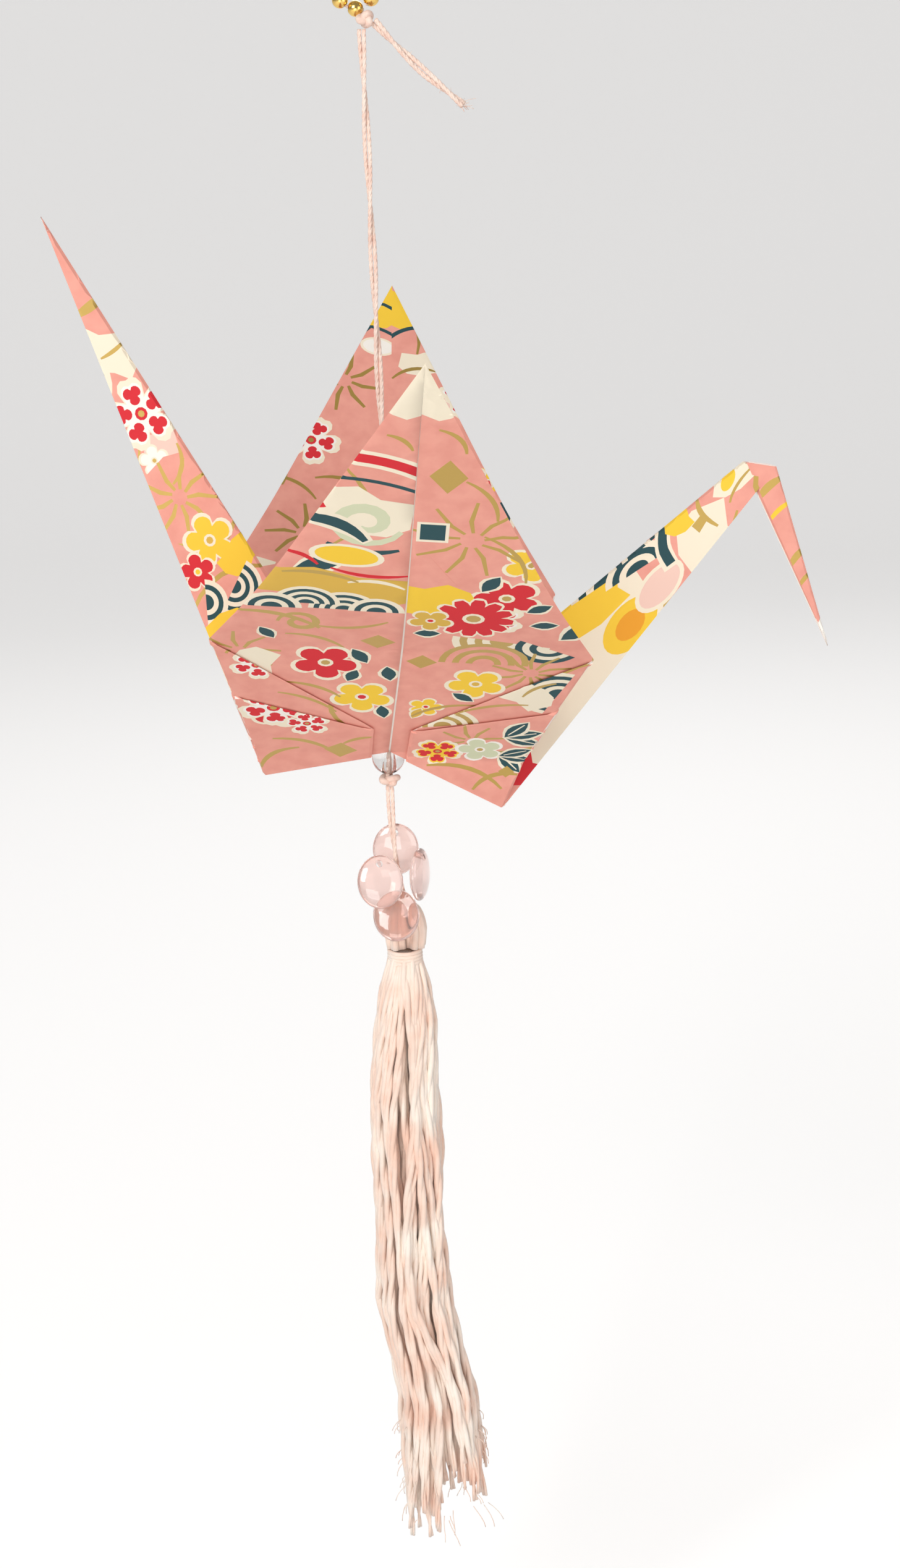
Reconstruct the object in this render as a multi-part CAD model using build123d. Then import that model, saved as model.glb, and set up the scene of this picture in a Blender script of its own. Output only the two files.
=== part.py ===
from build123d import *
import os
from math import cos, radians, sin, sqrt, tan

# A folded paper crane that hangs on a doubled thread. The thread runs down from a hanging loop
# through the crane's hump, a round glass bead, a knot and a cluster of petal beads, and ends
# in a tassel. Millimetres and degrees.
#
# Frame: +Z up, the origin where the loop hangs at its top, +X towards the crane's head, and
# the two wings towards -Y and +Y. The crane is worked out in a frame of its own, with its
# origin in the middle of the hole under its body, and is then tilted and moved to its place.

# The sheet and how it is folded.
SHEET = 150.0  # side of the square sheet
PLY = 0.12  # thickness of the paper
NARROWING = 11.78  # angle between a leg's middle and its narrowing fold
EDGE_GAP = 0.7  # half of the gap between the raw edges on a wing
TILT = 6.0  # how far the crane hangs nose down

# The body, opened by pulling its wings apart.
HOLE_HALF = 4.4  # half width of the hole under the body
BODY_LEAN = 50.0  # lean of the body's sides from upright
APEX_X = -1.0  # the hump's top, towards the tail
SPINE_FOOT = (1.9, 0.0, 0.1)  # inner end of the neck's spine; the tail's is its mirror image

# A wing: its lower stretch leans more than its upper one.
WING_KNEE = 14.0  # length of the lower stretch
WING_LEAN_LOW = 55.0
WING_LEAN_HIGH = 44.5
WING_TIP_X = -1.0  # the wing's tip, towards the tail
FAR_STEEPER = 5.0  # how much steeper the wing on the +Y side stands
RAW_TIP_CUT = 2.0  # how far short of the tip the ply with the raw edge ends

# Neck, head and tail: where each leg is folded up, and the direction that it takes.
NECK_DROP = 8.2  # the neck's lower corner, measured down the body's side
NECK_RISE = 55.4  # angle of the neck's lower edge
NECK_SPINE_RISE = 43.5  # angle of its upper edge
NECK_EXTRA = 7.3  # what the neck has beyond the length that the folds alone leave it
HEAD_LENGTH = 23.0
HEAD_FALL = 68.5  # angle of the head's front edge, downwards
TAIL_DROP = 6.1
TAIL_RISE = 66.0
LEG_SPREAD = 2.5  # how far a leg's two halves lean apart
FOLD_SHIFT = 1.5  # plies from the leg's middle to the middle of each half, which join at the spine
BEAK_CUT = 1.2  # the head's blunt end
HEAD_BACK = 2.7  # how far the crown lies behind the throat, along the neck

# The hanging thread and the pieces on it, in the frame of the whole ornament.
HANG = 100.5  # from the loop's top down to the middle of the body's hole
THREAD_SIDE = 1.0  # the loop hangs this far towards the head from that middle
THREAD = 1.1  # diameter of the doubled thread
BORE_GAP = 0.08  # clearance around a thread that runs through a piece
ARC_SHARE = 0.45  # share of a straight run that the arc at its end takes
THREAD_ROUTE = [(-0.17, -16.9), (0.07, -80.7), (-1.1, -102.3), (-1.3, -113.8), (-0.1, -120.6)]

TOP_KNOT = (0.45, 0.0, -15.85)
TOP_KNOT_SIZE = (2.1, 1.7, 1.9)
CUT_TAIL_ROUTE = [(1.7, -16.25), (3.5, -18.6), (6.9, -22.0), (11.2, -25.7)]

LOOP_STRAND = 0.5  # the loop's own thread
LOOP_Y = 0.75  # the loop runs behind the knot
LOOP_ROUTE = [
    (0.2, -14.75),
    (-2.0, -14.3),
    (-4.1, -10.9),
    (-4.6, -5.4),
    (-2.4, 0.0),
    (2.2, 0.0),
    (4.4, -5.2),
    (3.7, -10.4),
    (0.55, -14.2),
]
GOLD_BEAD = 1.85
GOLD_BEAD_ROOM = 0.16  # the least room between two of them on the loop
GOLD_BEAD_BORE = 0.8

GLASS_BEAD = 4.0
GLASS_BEAD_DROP = 1.85  # the bead's middle, below the hole that it closes
BEAD_KNOT_SIZE = (2.5, 2.0, 1.5)
SEAT_GAP = 0.05  # between a knot and the bead that sits on it

# Each petal bead: its middle, then how it leans about X and turns about Z.
PETAL = (5.7, 1.8, 6.6)  # width, thickness and length
PETAL_HOLE = 0.8
PETAL_HOLE_INSET = 1.1
PETALS = {
    "petal_bead_back": ((-0.7, 1.7, -114.4), 0, 0),
    "petal_bead_front": ((-2.85, -2.3, -117.4), -16, 8),
    "petal_bead_right": ((2.1, 0.2, -117.4), 0, 68),
    "petal_bead_low": ((-1.1, -2.45, -121.7), -30, 0),
}

TASSEL_HEAD = (3.4, 4.2, 7.4)  # each of its two lobes: width, depth and height
TASSEL_HEAD_AT = (0.0, 0.0, -124.6)
LOBE_APART = 1.3  # half of the distance between the lobes' middles
WAIST_HEIGHT = 1.6
# The skirt's sections: middle, height and radius.
SKIRT = [
    (-0.26, -128.3, 2.05),
    (-0.56, -136.4, 3.85),
    (-1.05, -146.0, 4.45),
    (-1.2, -162.0, 4.55),
    (-1.3, -174.0, 5.1),
    (0.8, -187.0, 5.5),
    (2.2, -202.5, 5.7),
]

OUT = Vector(0, -1, 0)  # away from the crane's middle on its -Y side
UP = Vector(0, 0, 1)


# ---- the crane ----

LEG = SHEET / 2  # from the hinge line to the tip of a leg or a wing
APEX = SHEET * (sqrt(2) - 1) / 2  # from the hinge line to the hump's top, along the paper
EDGE = tan(radians(22.5))  # slope of a wing's or leg's outer edge
NARROW = tan(radians(NARROWING))
FLAP = radians(2 * NARROWING - 22.5)  # the folded edge, past the leg's middle


def on_body(x, height, side):
    """A point of the body's side: x from its raw edge, height above the hinge line."""
    lean = radians(BODY_LEAN)
    return Vector(side * (EDGE_GAP + x), -HOLE_HALF - height * sin(lean), height * cos(lean))


def under_body(x, height, drop, side):
    """A point below the hinge line, where the side turns in towards the leg's corner."""
    inward = HOLE_HALF / drop
    down = sqrt(1 - inward**2)
    return Vector(side * (EDGE_GAP + x), -HOLE_HALF - height * inward, height * down)


def on_wing(share, along, side, steeper):
    """A point of a wing: share of its half width, and the length from its bend."""
    low = min(along, WING_KNEE)
    high = along - low
    bend = on_body(0, BEND, side)
    lean_low = radians(WING_LEAN_LOW - steeper)
    lean_high = radians(WING_LEAN_HIGH - steeper)
    out = low * sin(lean_low) + high * sin(lean_high)
    rise = low * cos(lean_low) + high * cos(lean_high)
    left = 1 - along / WING
    x = side * left * (EDGE_GAP + share * BEND_HALF) + WING_TIP_X * along / WING
    return Vector(x, bend.Y - out, bend.Z + rise)


BEND = LEG * (EDGE - NARROW) / (EDGE + NARROW)  # the wing's bend, above the hinge line
BEND_HALF = (LEG + BEND) * NARROW
WING = LEG - BEND
RIDGE = (APEX - LEG * NARROW) / (1 + NARROW)  # where the hump's ridge meets the narrowing fold
RIDGE_HALF = APEX - RIDGE
CORNER = LEG / cos(radians(22.5))
FLAP_TOP = (CORNER * sin(FLAP), CORNER * cos(FLAP) - LEG)  # the tip of the narrowed flap
FLAP_FOOT = LEG * tan(FLAP)  # the flap's folded end at the hinge line


def plate(corners, plies, outward, first=0.0):
    """A flat area of that many plies, whose middle lies first plies out from its corners."""
    face = Face(Wire.make_polygon(corners))
    normal = face.normal_at()
    if normal.dot(outward) < 0:
        normal = normal * -1
    base = face.moved(Location(normal * (first - plies / 2) * PLY))
    return Solid.extrude(base, normal * (plies * PLY))


def hump_apex():
    """The hump's top, as high as the ridges' length on the paper lets it stand."""
    foot = on_body(RIDGE_HALF, RIDGE, 1)
    across = RIDGE_HALF**2 + foot.Y**2
    return Vector(APEX_X, 0, foot.Z + sqrt(2 * RIDGE_HALF**2 - across))


def body_side(side, drop):
    """One quarter of the body: its side, and the flap folded over it."""
    hinge = on_body(NARROW * LEG, 0, side)
    hinge_edge = on_body(0, 0, side)
    middle = Vector(0, hinge.Y, 0)
    bend = on_body(BEND_HALF, BEND, side)
    bend_edge = on_body(0, BEND, side)
    bend_middle = Vector(0, bend.Y, bend.Z)
    ridge = on_body(RIDGE_HALF, RIDGE, side)
    flap_tip = on_body(*FLAP_TOP, side)
    flap_foot = on_body(FLAP_FOOT, 0, side)
    corner_x = (LEG - drop) * NARROW
    corner = under_body(corner_x, -drop, drop, side)
    foot_x = FLAP_FOOT / (1 + tan(FLAP) * drop / corner_x)
    flap_end = under_body(foot_x, -drop * foot_x / corner_x, drop, side)
    return [
        plate([middle, hinge, bend, bend_middle], 3, OUT),
        plate([hinge_edge, hinge, bend, bend_edge], 1, OUT, 2),
        plate([hinge_edge, hinge, corner], 4, OUT),
        plate([flap_tip, hinge, bend], 2, OUT, 3.5),
        plate([flap_tip, flap_foot, hinge, ridge], 2, OUT, 5.5),
        plate([flap_foot, hinge, corner, flap_end], 3, OUT, 3.5),
    ]


def wing_half(side, steeper):
    """Half of a wing: the ply that runs across it, and the ply folded over its outer face."""
    plates = []
    for start, end in ((0, WING_KNEE), (WING_KNEE, WING)):
        middles = [on_wing(0, along, side, steeper) for along in (end, start)]
        for point, along in zip(middles, (end, start)):
            point.X = WING_TIP_X * along / WING
        whole = [on_wing(1, along, side, steeper) for along in (start, end)] + middles
        if end == WING:
            whole.pop(1)
        raw_end = min(end, WING - RAW_TIP_CUT)
        raw = [on_wing(1, along, side, steeper) for along in (start, raw_end)]
        raw += [on_wing(0, along, side, steeper) for along in (raw_end, start)]
        plates += [plate(whole, 1, OUT), plate(raw, 1, OUT, 1)]
    return plates


def hump(side, drop):
    """The hump's inner faces: its slope over the wing, and its groove towards a leg."""
    apex = hump_apex()
    ridge = on_body(RIDGE_HALF, RIDGE, side)
    ridge_middle = Vector(0, ridge.Y, ridge.Z)
    hinge = on_body(NARROW * LEG, 0, side)
    corner = under_body((LEG - drop) * NARROW, -drop, drop, side)
    spine = Vector(side * SPINE_FOOT[0], 0, SPINE_FOOT[2])
    outward = Vector(side, 0, 1)
    return [
        plate([apex, ridge_middle, ridge], 2, UP),
        plate([apex, ridge, spine], 2, outward),
        plate([ridge, hinge, spine], 2, outward),
        plate([hinge, corner, spine], 2, outward),
    ]


def heading(angle):
    return Vector(cos(radians(angle)), 0, sin(radians(angle)))


def spread(point, start, direction):
    """The point, moved out from the middle by its distance from a leg's spine."""
    away = (point - start).cross(direction).length
    return Vector(point.X, -away * tan(radians(LEG_SPREAD)), point.Z)


def neck():
    """Half of the neck and of the head, four plies each."""
    drop = NECK_DROP
    corner_x = EDGE_GAP + (LEG - drop) * NARROW
    corner = Vector(corner_x, 0, -sqrt(drop**2 - HOLE_HALF**2))
    foot = Vector(*SPINE_FOOT)
    along = heading(NECK_SPINE_RISE)
    lower_edge = (LEG - drop) / cos(radians(NARROWING)) - HEAD_LENGTH + NECK_EXTRA
    throat = corner + heading(NECK_RISE) * lower_edge
    crown_at = (throat - foot).dot(along) - HEAD_BACK
    crown = foot + along * crown_at
    beak = throat + heading(-HEAD_FALL) * HEAD_LENGTH
    back = (crown - beak).normalized()
    front = (throat - beak).normalized()
    tip = [beak + back * BEAK_CUT, beak + front * BEAK_CUT]
    half = [foot, crown, *(spread(p, foot, along) for p in (throat, corner))]
    head = [crown, *(spread(p, crown, back) for p in (throat, tip[1], tip[0]))]
    return [plate(half, 4, OUT, FOLD_SHIFT), plate(head, 4, OUT, FOLD_SHIFT)]


def tail():
    """Half of the tail, four plies."""
    drop = TAIL_DROP
    corner_x = EDGE_GAP + (LEG - drop) * NARROW
    corner = Vector(-corner_x, 0, -sqrt(drop**2 - HOLE_HALF**2))
    foot = Vector(-SPINE_FOOT[0], 0, SPINE_FOOT[2])
    tip = corner + heading(180 - TAIL_RISE) * (LEG - drop) / cos(radians(NARROWING))
    along = (tip - foot).normalized()
    return [plate([foot, tip, spread(corner, foot, along)], 4, OUT, FOLD_SHIFT)]


def place(shape):
    """From the crane's own frame to its place under the loop."""
    return Pos(-THREAD_SIDE, 0, -HANG) * Rot(0, TILT, 0) * shape


def crane():
    half = body_side(1, NECK_DROP) + body_side(-1, TAIL_DROP)
    half += hump(1, NECK_DROP) + hump(-1, TAIL_DROP)
    half += neck() + tail()
    near = half + wing_half(1, 0) + wing_half(-1, 0)
    far = half + wing_half(1, FAR_STEEPER) + wing_half(-1, FAR_STEEPER)
    plates = near + [p.mirror(Plane.XZ) for p in far]
    folded = plates[0].fuse(*plates[1:])
    return place(folded) - thread_bore()


# ---- the threads ----


def route(points, y=0.0):
    """The line of a thread: straight runs, joined by arcs as large as the runs allow."""
    corners = [Vector(x, y, z) for x, z in points]
    radii = []
    for a, b, c in zip(corners, corners[1:], corners[2:]):
        turn = radians((b - a).get_angle(c - b))
        run = min((b - a).length, (c - b).length)
        radii.append(ARC_SHARE * run / tan(turn / 2))
    return FilletPolyline(*corners, radius=radii)


def smallest_arc(line):
    return min(e.radius for e in line.edges() if e.geom_type == GeomType.CIRCLE)


def tube(line, diameter):
    return sweep(Plane(line @ 0, z_dir=line % 0) * Circle(diameter / 2), path=line)


def thread_bore():
    """The doubled thread's hole through whatever it passes."""
    return tube(route(THREAD_ROUTE), THREAD + 2 * BORE_GAP)


def ellipsoid(size):
    return scale(Sphere(0.5), by=size)


def gold_beads():
    """Beads strung side by side on the loop, with room for the knot between two of them."""
    line = route(LOOP_ROUTE, LOOP_Y)
    first = GOLD_BEAD / 2 / line.length
    count = int((line.length - GOLD_BEAD) / (GOLD_BEAD + GOLD_BEAD_ROOM)) + 1
    step = (1 - 2 * first) / (count - 1)
    one = Sphere(GOLD_BEAD / 2) - Cylinder(GOLD_BEAD_BORE / 2, GOLD_BEAD)
    places = [first + i * step for i in range(count)]
    return Compound([Plane(line @ u, z_dir=line % u) * one for u in places])


# ---- the pieces below the crane ----


def glass_bead():
    at = THREAD_ROUTE[2]
    return Pos(at[0], 0, -HANG - GLASS_BEAD_DROP) * Sphere(GLASS_BEAD / 2) - thread_bore()


def bead_knot():
    at = THREAD_ROUTE[2]
    top = -HANG - GLASS_BEAD_DROP - GLASS_BEAD / 2 - SEAT_GAP
    return Pos(at[0], 0, top - BEAD_KNOT_SIZE[2] / 2) * ellipsoid(BEAD_KNOT_SIZE) - thread_bore()


def petal_bead(middle, lean, turn):
    width, thickness, length = PETAL
    hole = Pos(0, 0, length / 2 - PETAL_HOLE_INSET) * Rot(90, 0, 0)
    petal = ellipsoid(PETAL) - hole * Cylinder(PETAL_HOLE / 2, 2 * thickness)
    return Pos(*middle) * Rot(0, 0, turn) * Rot(lean, 0, 0) * petal


def tassel_head():
    """The knotted loops above the skirt: two lobes with a slit between them, and the waist."""
    middle = Pos(*TASSEL_HEAD_AT)
    lobes = [middle * Pos(s * LOBE_APART, 0, 0) * ellipsoid(TASSEL_HEAD) for s in (-1, 1)]
    waist_x, waist_z, waist_radius = SKIRT[0]
    waist = Pos(waist_x, 0, waist_z + WAIST_HEIGHT / 2) * Cylinder(waist_radius, WAIST_HEIGHT)
    end_x, end_z = THREAD_ROUTE[-1]
    above = Pos(end_x, 0, end_z + TASSEL_HEAD[2] / 2) * Box(*[TASSEL_HEAD[2]] * 3)
    return lobes[0] + lobes[1] + waist - above


def tassel_skirt():
    return loft([Plane((x, 0, z)) * Circle(radius) for x, z, radius in SKIRT])


def ornament():
    """Every piece, by its node's name."""
    thread = route(THREAD_ROUTE)
    pieces = {
        "crane": crane(),
        "hanging_thread": tube(thread, THREAD),
        "top_knot": Pos(*TOP_KNOT) * ellipsoid(TOP_KNOT_SIZE),
        "cut_tail": tube(route(CUT_TAIL_ROUTE), THREAD),
        "hanging_loop": tube(route(LOOP_ROUTE, LOOP_Y), LOOP_STRAND),
        "gold_beads": gold_beads(),
        "glass_bead": glass_bead(),
        "bead_knot": bead_knot(),
        "tassel_head": tassel_head(),
        "tassel_skirt": tassel_skirt(),
    }
    for name, (middle, lean, turn) in PETALS.items():
        pieces[name] = petal_bead(middle, lean, turn)
    return pieces


os.makedirs("parts", exist_ok=True)
for name, piece in ornament().items():
    export_step(piece, f"parts/{name}.step")
for points in (THREAD_ROUTE, CUT_TAIL_ROUTE, LOOP_ROUTE):
    line = route(points)
    print(f"thread of {line.length:.1f} mm, smallest arc {smallest_arc(line):.1f} mm")
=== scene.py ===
"""The looks of the paper crane ornament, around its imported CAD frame."""
import random
from math import cos, pi, radians, sin, sqrt, tan

import bpy
import numpy as np
from mathutils import Matrix, Vector
from mathutils.geometry import delaunay_2d_cdt


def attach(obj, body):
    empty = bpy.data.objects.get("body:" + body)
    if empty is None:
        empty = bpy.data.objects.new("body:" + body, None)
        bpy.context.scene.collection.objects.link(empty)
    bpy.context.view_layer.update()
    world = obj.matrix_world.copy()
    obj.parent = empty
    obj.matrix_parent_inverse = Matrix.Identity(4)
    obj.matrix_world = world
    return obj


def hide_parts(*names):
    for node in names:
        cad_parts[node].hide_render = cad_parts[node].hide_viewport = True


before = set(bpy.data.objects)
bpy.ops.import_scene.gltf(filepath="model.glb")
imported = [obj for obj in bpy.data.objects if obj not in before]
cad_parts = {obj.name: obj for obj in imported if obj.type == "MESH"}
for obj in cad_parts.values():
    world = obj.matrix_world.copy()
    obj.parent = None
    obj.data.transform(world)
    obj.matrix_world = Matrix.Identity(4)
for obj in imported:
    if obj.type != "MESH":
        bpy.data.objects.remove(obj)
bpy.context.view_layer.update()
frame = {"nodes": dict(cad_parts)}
MM = 0.001
rng = random.Random(7)


# ---------------------------------------------------------------- materials


def material(name, colour, rough=0.6, metal=0.0, **sockets):
    mat = bpy.data.materials.new(name)
    mat.use_nodes = True
    shader = mat.node_tree.nodes["Principled BSDF"]
    shader.inputs["Base Color"].default_value = (*colour, 1)
    shader.inputs["Roughness"].default_value = rough
    shader.inputs["Metallic"].default_value = metal
    for key, value in sockets.items():
        shader.inputs[key.replace("_", " ")].default_value = value
    return mat


def noise(mat, scale, detail, stretch=None):
    """The value of a noise texture in the object's own space."""
    nodes, links = mat.node_tree.nodes, mat.node_tree.links
    place = nodes.new("ShaderNodeTexCoord").outputs["Object"]
    if stretch:
        mapping = nodes.new("ShaderNodeMapping")
        mapping.inputs["Scale"].default_value = stretch
        links.new(place, mapping.inputs["Vector"])
        place = mapping.outputs["Vector"]
    texture = nodes.new("ShaderNodeTexNoise")
    texture.inputs["Scale"].default_value = scale
    texture.inputs["Detail"].default_value = detail
    links.new(place, texture.inputs["Vector"])
    return texture.outputs["Fac"]


def bump(mat, scale, strength, distance, detail, stretch=(1, 1, 1)):
    nodes, links = mat.node_tree.nodes, mat.node_tree.links
    node = nodes.new("ShaderNodeBump")
    node.inputs["Strength"].default_value = strength
    node.inputs["Distance"].default_value = distance
    links.new(noise(mat, scale, detail, stretch), node.inputs["Height"])
    links.new(node.outputs["Normal"], nodes["Principled BSDF"].inputs["Normal"])


def mottle(mat, first, second, scale):
    """The colour wanders between two shades."""
    nodes, links = mat.node_tree.nodes, mat.node_tree.links
    ramp = nodes.new("ShaderNodeValToRGB")
    low, high = ramp.color_ramp.elements
    low.position, low.color = 0.35, (*first, 1)
    high.position, high.color = 0.65, (*second, 1)
    links.new(noise(mat, scale, 3.0), ramp.inputs["Fac"])
    links.new(ramp.outputs["Color"], nodes["Principled BSDF"].inputs["Base Color"])


def math_node(tree, operation, *values):
    """The output of a math node whose inputs are sockets or numbers."""
    node = tree.nodes.new("ShaderNodeMath")
    node.operation = operation
    for socket, value in zip(node.inputs, values):
        if isinstance(value, bpy.types.NodeSocket):
            tree.links.new(value, socket)
        else:
            socket.default_value = value
    return node.outputs[0]


def add(name, data):
    obj = bpy.data.objects.new(name, data)
    bpy.context.collection.objects.link(obj)
    return obj


# The print's inks, the paper's gold and its back, whose own cream is darkened towards peach as
# painted shade for the slits between the raw edges.
INKS = {
    "pink": (0.82, 0.35, 0.275),
    "pale": (0.88, 0.60, 0.50),
    "cream": (0.90, 0.80, 0.62),
    "white": (0.93, 0.88, 0.80),
    "yellow": (0.93, 0.60, 0.05),
    "ochre": (0.72, 0.45, 0.08),
    "orange": (0.86, 0.36, 0.03),
    "red": (0.68, 0.03, 0.04),
    "teal": (0.025, 0.075, 0.085),
    "green": (0.66, 0.68, 0.46),
}
INK_ORDER = [*INKS, "gold", "back"]
paper = {n: material("ink_" + n, c, 0.7, Specular_IOR_Level=0.25) for n, c in INKS.items()}
paper["gold"] = material("ink_gold", (0.50, 0.33, 0.08), 0.4, 0.5)
# the back: the paper's own cream, darkened and warmed as painted shade where it shows in the slits
paper["back"] = material("paper_back_with_painted_shade", (0.88, 0.79, 0.72), 0.85)
for mat in paper.values():
    bump(mat, 900, 0.25, 0.00006, 5, (1, 1, 0.35))
mottle(paper["pink"], (0.80, 0.33, 0.26), (0.86, 0.38, 0.30), 420)


# ---------------------------------------------------------------- the crane's shape, in mm

SHEET = 150.0
PLY = 0.12
NARROWING = 11.78
EDGE_GAP = 0.7
RAW_GAP = 0.1  # half of the slit between the raw edges, as they curl in
TILT = 6.0
HOLE_HALF = 4.4
BODY_LEAN = 50.0
APEX_X = -1.0
SPINE_X, SPINE_Z = 1.9, 0.1
WING_KNEE, KNEE_HALF = 14.0, 9.0  # the bend in a wing's lean and half its length
LEAN_LOW, LEAN_HIGH = 55.0, 44.5
FAR_STEEPER = 5.0
WING_TIP_X = -1.0
NECK_DROP, NECK_RISE, NECK_SPINE_RISE, NECK_EXTRA = 8.2, 55.4, 43.5, 7.3
HEAD_LENGTH, HEAD_FALL, HEAD_BACK = 23.0, 68.5, 2.7
TAIL_DROP, TAIL_RISE = 6.1, 66.0
LEG_SPREAD = 2.5
HANG, THREAD_SIDE = 100.5, 1.0

LEG = SHEET / 2
APEX = SHEET * (sqrt(2) - 1) / 2
REACH = SHEET / sqrt(2)  # from the sheet's middle to a corner
EDGE = tan(radians(22.5))
NARROW = tan(radians(NARROWING))
BEND = LEG * (EDGE - NARROW) / (EDGE + NARROW)
BEND_HALF = (LEG + BEND) * NARROW
WING = LEG - BEND
RIDGE = (APEX - LEG * NARROW) / (1 + NARROW)
RIDGE_HALF = APEX - RIDGE
PAPER = 0.1  # thickness of the paper that is shown
INSET = 0.35  # how near a fold the paper starts to turn
STEP = 1.5  # the grid of the sheet's mesh
JITTER = 0.3  # how far the grid's points are moved off their rows
PLY_INSET, PLY_TUCK = 0.25, 0.7  # an inner ply of the neck or tail, short of its two folds


def mirror(points, start, end):
    """Points reflected over the line from start to end."""
    points, start = np.asarray(points, float), np.asarray(start, float)
    along = np.asarray(end, float) - start
    along /= np.linalg.norm(along)
    away = points - start
    return start + 2 * np.outer(away @ along, along) - away


def over_narrowing(points):
    return mirror(points, (0, -LEG), (LEG * NARROW, 0))


# The sheet's five triangles in one quarter, u towards a leg's corner and v away from a wing's.
# fold() gives a triangle's points in the flat folded form: x from the middle, height above
# the hinge line. unfold() is its inverse.
def fold(kind, p):
    u, v = p[:, 0], p[:, 1]
    if kind == "T1":
        return np.stack([u, v + APEX], 1)
    if kind in ("T2", "T3"):
        flat = np.stack([u, -APEX - v], 1)
        return flat if kind == "T2" else mirror(flat, (0, LEG), (APEX, 0))
    flat = np.stack([-v, APEX - u], 1)
    return flat if kind == "T5" else mirror(flat, (0, -LEG), (APEX, 0))


def unfold(kind, p):
    p = np.asarray(p, float)
    if kind == "T3":
        p = mirror(p, (0, LEG), (APEX, 0))
    if kind == "T4":
        p = mirror(p, (0, -LEG), (APEX, 0))
    if kind == "T1":
        return np.stack([p[:, 0], p[:, 1] - APEX], 1)
    if kind in ("T2", "T3"):
        return np.stack([p[:, 0], -APEX - p[:, 1]], 1)
    return np.stack([APEX - p[:, 1], -p[:, 0]], 1)


def kind_of(u, v):
    if u <= -v:
        if v >= -APEX:
            return "T1"
        return "T2" if u <= EDGE * (v + REACH) else "T3"
    if u <= APEX:
        return "T5"
    return "T5" if -v <= EDGE * (REACH - u) else "T4"


def heading(angle):
    return np.array([cos(radians(angle)), 0, sin(radians(angle))])


def leg_shape(side):
    """Corners of the neck or the tail: the flat ones and the ones in space."""
    drop = NECK_DROP if side > 0 else TAIL_DROP
    corner_x = (LEG - drop) * NARROW
    corner = np.array([side * (EDGE_GAP + corner_x), 0, -sqrt(drop**2 - HOLE_HALF**2)])
    foot = np.array([side * SPINE_X, 0, SPINE_Z])
    edge = (LEG - drop) / cos(radians(NARROWING))
    shape = {"drop": drop, "corner_x": corner_x, "foot": foot, "corner": corner}
    if side > 0:
        along = heading(NECK_SPINE_RISE)
        throat = corner + heading(NECK_RISE) * (edge - HEAD_LENGTH + NECK_EXTRA)
        crown = foot + along * ((throat - foot) @ along - HEAD_BACK)
        beak = throat + heading(-HEAD_FALL) * HEAD_LENGTH
        head = np.linalg.norm(beak - crown)
        shape["foot_h"] = head + np.linalg.norm(crown - foot) - NECK_EXTRA - LEG
        shape["crown_h"] = head - LEG
        narrow = radians(NARROWING)
        shape["throat_flat"] = (HEAD_LENGTH * sin(narrow), HEAD_LENGTH * cos(narrow) - LEG)
        shape.update(crown=crown, throat=throat, tip=beak, along=along)
        back = (crown - beak) / head
        shape["lean"] = {
            "corner": np.linalg.norm(np.cross(corner - foot, along)),
            "throat": np.linalg.norm(np.cross(throat - foot, along)),
            "head": np.linalg.norm(np.cross(throat - crown, back)),
        }
    else:
        tip = corner + heading(180 - TAIL_RISE) * edge
        along = (tip - foot) / np.linalg.norm(tip - foot)
        shape["foot_h"] = np.linalg.norm(tip - foot) - LEG
        shape.update(tip=tip, along=along)
        shape["lean"] = {"corner": np.linalg.norm(np.cross(corner - foot, along))}
    return shape


LEGS = {1: leg_shape(1), -1: leg_shape(-1)}


def on_body(x, height):
    """x is already measured from the middle."""
    out, up = sin(radians(BODY_LEAN)), cos(radians(BODY_LEAN))
    return np.stack([x, -HOLE_HALF - height * out, height * up], 1)


def under_body(x, height, drop):
    inward = HOLE_HALF / drop
    return np.stack([x, -HOLE_HALF - height * inward, height * sqrt(1 - inward**2)], 1)


# A wing's profile: it leans more near its bend, and the lean changes over a rounded stretch.
WING_STEPS = np.linspace(0, WING, 400)


def wing_profile(steeper):
    """How far out and how high a wing is at each step from its bend."""
    share = np.clip((WING_STEPS - (WING_KNEE - KNEE_HALF)) / (2 * KNEE_HALF), 0, 1)
    lean = LEAN_LOW + (LEAN_HIGH - LEAN_LOW) * share * share * (3 - 2 * share)
    middle = np.radians((lean[1:] + lean[:-1]) / 2 - steeper)
    out, up = np.cumsum(np.sin(middle)), np.cumsum(np.cos(middle))
    return np.concatenate([[0], out]) * WING_STEPS[1], np.concatenate([[0], up]) * WING_STEPS[1]


WINGS = {1: wing_profile(0), -1: wing_profile(FAR_STEEPER)}


def affine(points, flat, space):
    """The points' places on the plane that takes three flat corners to three in space."""
    flat = np.asarray(flat, float)
    basis = np.stack([flat[1] - flat[0], flat[2] - flat[0]], 1)
    share = (np.asarray(points) - flat[0]) @ np.linalg.inv(basis).T
    space = [np.asarray(s, float) for s in space]
    return space[0] + np.outer(share[:, 0], space[1] - space[0]) + np.outer(
        share[:, 1], space[2] - space[0]
    )


def leaned(point, distance):
    return np.array([point[0], -distance * tan(radians(LEG_SPREAD)), point[2]])


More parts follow.
